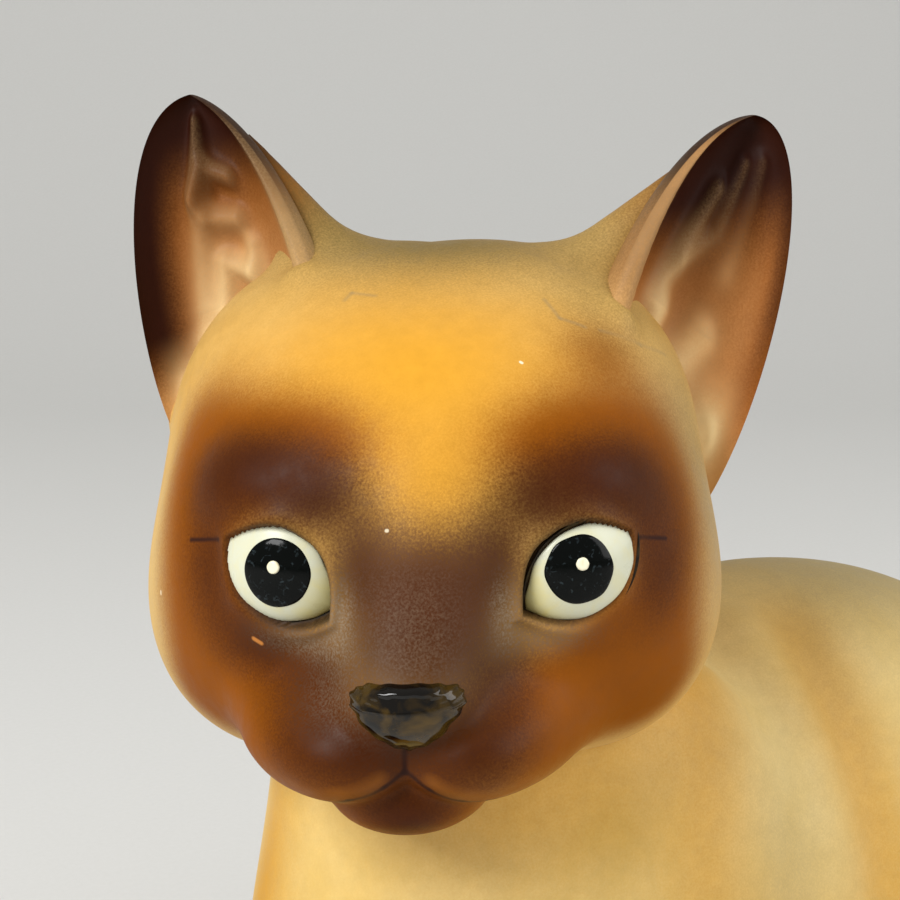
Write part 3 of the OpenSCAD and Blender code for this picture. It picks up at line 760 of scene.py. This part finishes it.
honey, soot = crown_coats(head_local)
mask = coat(*puffs(
    head_local,
    ((-16, 9.5, 20), (8.5, 4.5, 9), 0.97), ((-21, 7, 18), (6, 5, 8), 0.6),
    ((-11, 7.5, 24), (6, 4.5, 9), 0.92), ((17, 8.5, 20), (8.5, 4.8, 9), 0.97),
    ((11.5, 7, 23), (5.5, 4.5, 9), 0.9), ((21, 5, 17), (6, 5, 8), 0.6),
    ((-6.2, 1, 27), (4, 6.5, 8), 0.85), ((6.6, 1, 26), (4, 6.5, 8), 0.85),
    ((0, -4, 30), (7.5, 8, 9), 0.93), ((0, 0.5, 28.5), (7, 4, 9), 0.75),
    ((-1, -6.5, 31), (7, 4.5, 8), 0.8), ((-22, -1, 18), (5, 8, 9), 0.75),
    ((-17, -8, 22), (7, 5.5, 9), 0.8), ((-10, -10, 26), (6, 6, 9), 0.75),
    ((23, -2, 16), (5, 8, 9), 0.8), ((16, -8, 22), (6, 4, 9), 0.35),
    ((7, -10, 27), (5, 6, 9), 0.7), ((-7, -15.8, 31), (8.5, 4.9, 9), 0.96),
    ((4, -15.8, 31), (7.5, 4.9, 9), 0.94), ((-2.5, -23.5, 27), (6.5, 4.5, 9), 0.97),
    ((-13, -17, 27), (4, 4, 8), 0.5), ((-25, 46, -9), (9, 9, 12), 0.97),
    ((-20, 39.5, -9), (5, 5, 10), 0.85), ((33, 43, -10), (8, 8, 12), 0.9),
    ((28, 37, -10), (4, 4, 10), 0.6)))
glow = coat(*puffs(
    head_local,
    ((-22, 42, -9), (10, 10, 12), 0.9), ((-16.5, 34, -8), (5, 5, 10), 0.6),
    ((30, 39, -10), (8, 8, 12), 0.8), ((23, 32, -9), (5, 5, 10), 0.35),
    ((-11, 12.5, 22), (7, 4, 9), 0.6), ((12, 12, 21), (7, 4, 9), 0.6),
    ((-17, 10, 18), (11, 7, 12), 0.95), ((-23, 2, 14), (6.5, 13, 12), 0.9),
    ((-22, -8, 17), (7, 10, 12), 0.95), ((18, 10, 17), (11.5, 7.5, 12), 0.95),
    ((23, 1, 13), (6.5, 12, 11), 0.9), ((20, -9, 18), (8, 8, 12), 0.95),
    ((0, -2, 28), (9, 6, 12), 0.7), ((-14, -14, 25), (9, 8, 12), 0.95),
    ((17.7, 19, 8.5), (6, 4.5, 7), 0.5), ((-24, 11, 9), (5, 6, 8), 0.4),
    ((21, -16, 17), (8, 7, 9), 0.75), ((-22, -16, 18), (7, 6, 9), 0.6),
    ((12, -15, 25), (9, 7, 12), 0.9), ((-3, -18, 28), (14, 8, 12), 0.95),
    ((-3, -25, 24), (10, 5, 12), 0.9), ((22, -15, 14), (6, 5, 10), 0.6),
    ((-24, -16, 14), (5, 5, 10), 0.5)))
head_coats = {
    "honey": honey,
    "amber": step(glow, 0.0, 0.85),
    "seal": 0.97 * step(mask, 0.1, 1.02),
    # soot: grey along the crown, partly painted shade on its top edge, and painted shade down the cat's left
    # side of the head
    "soot": coat(soot, *puffs(head_local, ((28, 4, 0), (5, 16, 10), 0.35), ((20, 24, 2), (8, 6, 8), 0.4))),
    # painted sheen: a lighter dusty brown over the seal down the nose bridge
    "painted_sheen": coat(*puffs(head_local, ((0, 2, 28), (6.5, 6, 10), 0.5), ((0, -6, 30), (5, 6, 10), 0.1))),
    "dust": coat(*puffs(
        head_local,
        ((-8.6, -4, 27), (1.4, 3.2, 6), 0.42), ((7.6, -4, 27), (1.4, 3.2, 6), 0.38),
        ((-12, -7, 25), (4.5, 1.6, 6), 0.3), ((12, -7, 25), (4, 1.6, 6), 0.28),
        ((-2, -6, 31), (6, 8, 8), 0.1), ((-9, -11, 30), (4, 3, 6), 0.12))),
    "liner": np.exp(-((past_lid + 0.15) / 0.55) ** 2) * (lid_out > 0) * 0.9,
    # cream: painted highlight, a lighter tone down the cat's right cheek edge, on the lit side
    "cream": coat(*puffs(head_local, ((-29, -3, 8), (3, 11, 9), 0.8), ((-26, -14, 10), (4, 6, 9), 0.5))),
    # painted shade: greyish beige down the cat's left cheek edge and temple, the side away from the light
    "painted_side_shade": coat(*puffs(head_local, ((30, -2, 2), (4.5, 12, 10), 0.6), ((24, 12, 5), (7, 5, 9), 0.35))),
    "wet": coat(
        puff(head_local, (3.1, -14.4, 31.8), (1.5, 0.7, 3), 0.75),
        0.12 * mask * step(head_local[:, 1], -8, -14)),
}
line_brown, crack_grey, chip_white = tone("2c130c"), tone("8a7a5c"), tone("efe3c4")
lip_amber, chip_amber = tone("8c5216"), tone("c8803c")
mouth_top = (-2.4, -18.6, 30.5)
brushwork = [  # route, radius, blur, strength, colour
    ([(-4.8, -18.6, 31), (-8.5, -19.6, 30.5), (-12.5, -19.2, 27)], 0.2, 1.3, 0.6, lip_amber),
    ([(0.4, -18.9, 31), (4, -20, 30), (9, -20.4, 28)], 0.2, 1.3, 0.6, lip_amber),
    ([(-20.9, 2.2, 20), (-24.7, 1.4, 17)], 0.08, 0.28, 0.9, line_brown),
    ([(20.9, 1.9, 19.8), (24.3, 1.0, 17)], 0.08, 0.28, 0.9, line_brown),
    ([(-2.3, -15.9, 31.2), mouth_top], 0.1, 0.35, 0.9, line_brown),
    ([mouth_top, (-4.3, -19.6, 30.5), (-7.7, -20.9, 30), (-11, -22.3, 27)], 0.12, 0.45, 0.85, line_brown),
    ([mouth_top, (0, -20.1, 30.5), (3, -21.4, 29.5), (6, -22.2, 28)], 0.12, 0.45, 0.85, line_brown),
    ([(-8.9, 24.5, 6.6), (-8.2, 25.1, 5.6), (-5.7, 24.9, 6.7)], 0.03, 0.4, 0.35, crack_grey),
    ([(12.1, 24, 5.4), (13.6, 22.3, 7.3), (16.3, 21.3, 6.7)], 0.03, 0.4, 0.4, crack_grey),
    ([(17.9, 20.8, 5.8), (22.3, 18.7, 2.8), (25.3, 17, -0.9)], 0.03, 0.4, 0.3, crack_grey),
    ([(-17.7, -7.6, 22), (-17, -8, 22.3)], 0.15, 0.2, 0.9, chip_amber),
    ([(9.4, 19, 15.1), (9.5, 18.9, 15.1)], 0.12, 0.1, 0.9, chip_white),
    ([(-3.8, 4.8, 27.4), (-3.7, 4.8, 27.4)], 0.12, 0.1, 0.7, chip_white),
    ([(-28.9, -5.8, 11.8), (-28.9, -5.6, 11.8)], 0.12, 0.12, 0.8, chip_white),
]
head = cast_piece("head_casting_fine", on_head(head_local), HEAD_SPOKES, head_coats)
mask_bisque = airbrushed_bisque("mask bisque", (tone("d9b470"), tone("cb9f55")), [
    ("cream", tone("e6c682"), 0.3), ("honey", tone("d89a2a"), 0.35), ("painted_side_shade", tone("b09a78"), 0.5),
    ("amber", tone("8a4a00"), 0.7), ("seal", tone("3b1704"), 0.75), ("painted_sheen", tone("5d3b28"), 0.9),
    ("soot", tone("64562f"), 0.8), ("dust", tone("94826a"), 2.2), ("liner", tone("1c120a"), 0.3),
], [mark for row in brushwork for mark in strokes_along(*row)])
settle(head, mask_bisque, "head_casting")

# ---------------------------------------------------------------------------- eyes
# The eyeballs are part of the head casting. On each, white enamel fills the almond between the lids,
# black enamel makes the pupil, and one touch of ivory enamel is the catchlight, coat over coat.

WHITE_RINGS, PUPIL_RINGS, CATCHLIGHT_RINGS, WHITE_SPOKES = 60, 40, 20, 180
WHITES = {  # middle along and across the slant, half length, height above and below
    "left": (0.55, -0.45, 6.55, 4.8, 4.3),
    "right": (0.7, 0.0, 6.75, 4.8, 4.6),
}
LINE_OUTSIDE = (0.45, 0.5)  # how far the lid line lies outside the white, at the corners and above
PUPIL_RADIUS, CATCHLIGHT_RADIUS = 3.35, 0.62


def on_slant(x, y):
    """Along and across the slant of the lids, for a place level across the eyeball."""
    return SLANT_COS * x + SLANT_SIN * y, SLANT_COS * y - SLANT_SIN * x


def from_eye(u, v, lift, side):
    """The place at u along and v across the slant of the lids, lifted off the eyeball by a height."""
    x, y = SLANT_COS * u - SLANT_SIN * v, SLANT_SIN * u + SLANT_COS * v - LID_DROP
    z = np.sqrt(np.clip(EYEBALL_RADIUS ** 2 - x ** 2 - y ** 2, 0.1, None))
    local = x[..., None] * EYE_OUTER + y[..., None] * np.array([0, 1, 0]) + z[..., None] * EYE_OUT
    return (EYEBALL_CENTRE + local * (1 + lift / EYEBALL_RADIUS)[..., None]) * (side, 1, 1)


def enamel_drop(name, outline, middle, side, rings, thickness=0.0, base=0.0, bury=0.5, bead=0.0):
    """A pool of enamel inside an outline on the eyeball: thickness (1 - r^6)^(1/2) over a base, closed
    underneath by a last ring sunk into the ball. A bead keeps only a raised line round the outline."""
    share = np.append(np.linspace(0, 1, rings), (1.0, 0.0))[:, None]
    u, v = middle[0] + share * outline[0], middle[1] + share * outline[1]
    lift = base + thickness * np.sqrt(np.clip(1 - share ** 6, 0, 1)) + 0 * u
    if bead:
        lift = (bury + bead) * np.exp(-((share - 0.95) / 0.035) ** 2) - bury + 0 * u
    lift[-2:] = -bury
    rows = from_eye(u, v, lift, side)
    inner = woven_amount(np.clip(-(u + 2.2) / 3.5, 0, 1))
    return cast_piece(name, on_head(woven(rows)), rows.shape[1], {"inner": inner})


def enamel(name, ground, over, scale, spread, roughness, mirror, label=None):
    """Brushed enamel: one tone, with a second in streaks or where an attribute says, and a faint wave."""
    material = bpy.data.materials.new(name)
    material.use_nodes = True
    tree = material.node_tree
    shader = tree.nodes["Principled BSDF"]
    shader.inputs["Specular IOR Level"].default_value = mirror
    noise = noise_of(tree, wire(tree, "TexCoord").outputs["Object"], scale, 4, distortion=0.8)
    amount = rescaled(tree, noise, *spread)
    if label:
        kept = wire(tree, "Attribute", attribute_name=label).outputs["Fac"]
        streaks = sum_of(tree, "MULTIPLY", amount, 0.35)
        amount = wire(tree, "Clamp", {0: sum_of(tree, "ADD", streaks, kept)}).outputs[0]
    tree.links.new(blended(tree, amount, ground, over), shader.inputs["Base Color"])
    tree.links.new(rescaled(tree, noise, 0.3, 0.7, *roughness), shader.inputs["Roughness"])
    tree.links.new(bumped(tree, noise, 0.2, 0.00006), shader.inputs["Normal"])
    return material


def wavering(angle, size, waves):
    """Share by which a hand-painted outline strays: 1 plus waves of random height and start round it."""
    return 1 + sum(size * wobble.normal() * np.cos(k * angle + wobble.uniform(0, 6)) for k in waves)


white_enamel = enamel(
    "white enamel", tone("d2d3bb"), tone("dccf86"), scale=500, spread=(0.45, 0.75),
    roughness=(0.25, 0.42), mirror=0.3, label="inner")
black_enamel = enamel(
    "black enamel", tone("040605"), tone("2a3336"), scale=1400, spread=(0.6, 0.72),
    roughness=(0.06, 0.16), mirror=0.12)
ivory_enamel = enamel(
    "ivory enamel", tone("f3edcf"), tone("d8c790"), scale=900, spread=(0.5, 0.8),
    roughness=(0.25, 0.35), mirror=0.5)
line_enamel = enamel(
    "lid line", tone("1d150b"), tone("3b2f18"), scale=700, spread=(0.4, 0.7),
    roughness=(0.45, 0.6), mirror=0.15)
wobble = np.random.default_rng(7)
around = np.linspace(0, 2 * np.pi, WHITE_SPOKES, endpoint=False)
circle = np.stack([np.cos(around), np.sin(around)])
for side, hand in ((1, "left"), (-1, "right")):
    middle_u, middle_v, length, above, below = WHITES[hand]
    middle = (middle_u, middle_v)
    lid = np.where(circle[1] > 0, above, -below) * (1 - np.abs(circle[0]) ** 2.2) ** 0.85
    stray = wavering(around, 0.006, range(3, 12))
    line = enamel_drop(
        f"{hand}_lid_line", ((length + LINE_OUTSIDE[0]) * circle[0], lid + LINE_OUTSIDE[1] * circle[1]),
        middle, side, 2 * WHITE_RINGS, bead=0.62)
    settle(line, line_enamel, "head_casting")
    white = enamel_drop(
        f"{hand}_eye_white_fine", (length * circle[0] * stray, lid * stray),
        middle, side, WHITE_RINGS, thickness=0.3, base=0.15)
    settle(white, white_enamel, f"{hand}_eye_white")
    stray = wavering(around, 0.004, range(2, 9))
    pupil = enamel_drop(
        f"{hand}_pupil_fine", PUPIL_RADIUS * stray * circle,
        on_slant(0.0, 0.2 + LID_DROP), side, PUPIL_RINGS, thickness=0.2, base=0.42)
    settle(pupil, black_enamel, f"{hand}_pupil")
    glint = enamel_drop(
        f"{hand}_catchlight_fine", CATCHLIGHT_RADIUS * stray * circle,
        on_slant(0.1, 0.9 + LID_DROP), side, CATCHLIGHT_RINGS, thickness=0.25, base=0.6)
    settle(glint, ivory_enamel, f"{hand}_catchlight")

# ---------------------------------------------------------------------------- nose
# The tip of the nose is a thick drop of black glaze with a bronze lustre, which broke up at its edge
# as it was fired and ran down a little into the cleft of the lip.

NOSE_RINGS, NOSE_SPOKES = 90, 240
NOSE_HALF_WIDTH, NOSE_ABOVE, NOSE_BELOW = 5.6, 2.6, 4.6
NOSE_MIDDLE, NOSE_LIFT, NOSE_BROW, NOSE_BURIED = (-1.9, -11.3), 0.8, 0.35, 0.6
NOSE_START = 45.0  # in front of the face, from where the drop is laid back on to it

around = np.linspace(0, 2 * np.pi, NOSE_SPOKES, endpoint=False)
across, upward = np.cos(around), np.sin(around)
broad = np.sign(across) * np.abs(across) ** np.where(upward > 0, 0.8, 1.35)
tall = np.where(
    upward > 0, NOSE_ABOVE * np.abs(upward) ** 0.7, -NOSE_BELOW * np.abs(upward) ** 1.6)
stray = wavering(around, 0.009, (3, 5, 8, 12, 17))
share = np.append(np.linspace(0, 1, NOSE_RINGS), (1.0, 0.0))[:, None]
nose_rows = np.stack([
    NOSE_MIDDLE[0] + share * broad * NOSE_HALF_WIDTH * stray,
    NOSE_MIDDLE[1] + share * tall * stray,
    NOSE_START + 0 * share * tall], -1)
for _ in range(60):
    nose_rows[..., 2] -= np.clip(face_shape(nose_rows), -1, 3) * 0.7
lift = NOSE_LIFT * np.sqrt(np.clip(1 - share ** 5, 0, 1))
lift = lift + NOSE_BROW * np.exp(-((share - 0.8) / 0.15) ** 2) * (tall > 0)
lift[-2:] = -NOSE_BURIED
nose_rows[..., 2] += lift
nose = cast_piece("nose_glaze_fine", on_head(woven(nose_rows)), NOSE_SPOKES, {})
lustre_glaze = enamel(
    "lustre glaze", tone("080502"), tone("4e3a10"), scale=340, spread=(0.42, 0.72),
    roughness=(0.04, 0.1), mirror=0.36)
settle(nose, lustre_glaze, "nose_glaze")

# ---------------------------------------------------------------------------- table, light and camera
# The cat lies on a sheet of pale grey paper that curves up behind it, under two soft boxes and a
# bright, even room. The camera looks down a little at the face, from the cat's front left.

CAMERA_TURN, CAMERA_HEIGHT = np.radians((-35.0, 14.0))
CAMERA_DISTANCE, CAMERA_LENS = 208.0, 75.0
CAMERA_AIM = HEAD_CENTRE + (2.19, 0.45, 6.52)
level = np.cos(CAMERA_HEIGHT)
towards = np.array([np.sin(CAMERA_TURN) * level, -np.cos(CAMERA_TURN) * level, np.sin(CAMERA_HEIGHT)])
ahead = np.array([towards[0], towards[1], 0]) / level
right = np.array([-towards[1], towards[0], 0]) / level
camera = bpy.data.objects.new("camera", bpy.data.cameras.new("camera"))
camera.data.lens = CAMERA_LENS
camera.data.clip_start = 0.01
camera.location = (CAMERA_AIM + towards * CAMERA_DISTANCE) * METRES
camera.rotation_euler = Vector(-towards).to_track_quat("-Z", "Y").to_euler()
bpy.context.scene.collection.objects.link(camera)
bpy.context.scene.camera = camera
bpy.context.scene.view_settings.view_transform = "Standard"

ROOM_COLOUR, ROOM_STRENGTH = (0.83, 0.815, 0.79, 1), 0.5
world = bpy.data.worlds.new("studio")
world.use_nodes = True
background = world.node_tree.nodes["Background"]
background.inputs["Color"].default_value = ROOM_COLOUR
background.inputs["Strength"].default_value = ROOM_STRENGTH
bpy.context.scene.world = world


def softbox(name, across, height, away, size, watts):
    """A square light that faces the head, from a place across, above and towards the camera, in metres."""
    lamp = bpy.data.lights.new(name, "AREA")
    lamp.size, lamp.energy = size, watts
    holder = bpy.data.objects.new(name, lamp)
    holder.location = CAMERA_AIM * METRES + right * across + ahead * away + np.array([0, 0, height])
    facing = -(holder.location - Vector(CAMERA_AIM * METRES))
    holder.rotation_euler = facing.to_track_quat("-Z", "Y").to_euler()
    bpy.context.scene.collection.objects.link(holder)


softbox("window", across=-0.5, height=0.6, away=0.5, size=0.4, watts=9.0)
softbox("reflector", across=0.6, height=0.25, away=0.1, size=0.5, watts=2.5)

PAPER_NEAR, PAPER_FAR, PAPER_HALF_WIDTH = 9.0, -0.5, 9.0  # metres, along and across the camera's way
PAPER_CURVE, PAPER_TOP = 0.5, 2.5
bend = np.linspace(0.1, np.pi / 2, 16)
paper_run = np.concatenate([
    [PAPER_NEAR, PAPER_FAR], PAPER_FAR - PAPER_CURVE * np.sin(bend), [PAPER_FAR - PAPER_CURVE]])
paper_rise = np.concatenate([[0.0, 0.0], PAPER_CURVE - PAPER_CURVE * np.cos(bend), [PAPER_TOP]])
paper_rows = (
    paper_run[:, None, None] * ahead
    + np.array([-PAPER_HALF_WIDTH, PAPER_HALF_WIDTH])[None, :, None] * right
    + paper_rise[:, None, None] * np.array([0, 0, 1]))
row = 2 * np.arange(len(paper_run) - 1)[:, None]
paper_mesh = bpy.data.meshes.new("paper")
paper_mesh.from_pydata(paper_rows.reshape(-1, 3), [], (row + [0, 1, 3, 2]).tolist())
paper_mesh.shade_smooth()
paper = bpy.data.objects.new("paper", paper_mesh)
grey_paper = bpy.data.materials.new("grey paper")
grey_paper.use_nodes = True
tree = grey_paper.node_tree
shader = tree.nodes["Principled BSDF"]
fibres = noise_of(tree, wire(tree, "TexCoord").outputs["Object"], 900, 4)
tree.links.new(blended(tree, fibres, tone("d6d6d3"), tone("dcdcda")), shader.inputs["Base Color"])
shader.inputs["Roughness"].default_value = 0.9
paper.data.materials.append(grey_paper)
bpy.context.scene.collection.objects.link(paper)
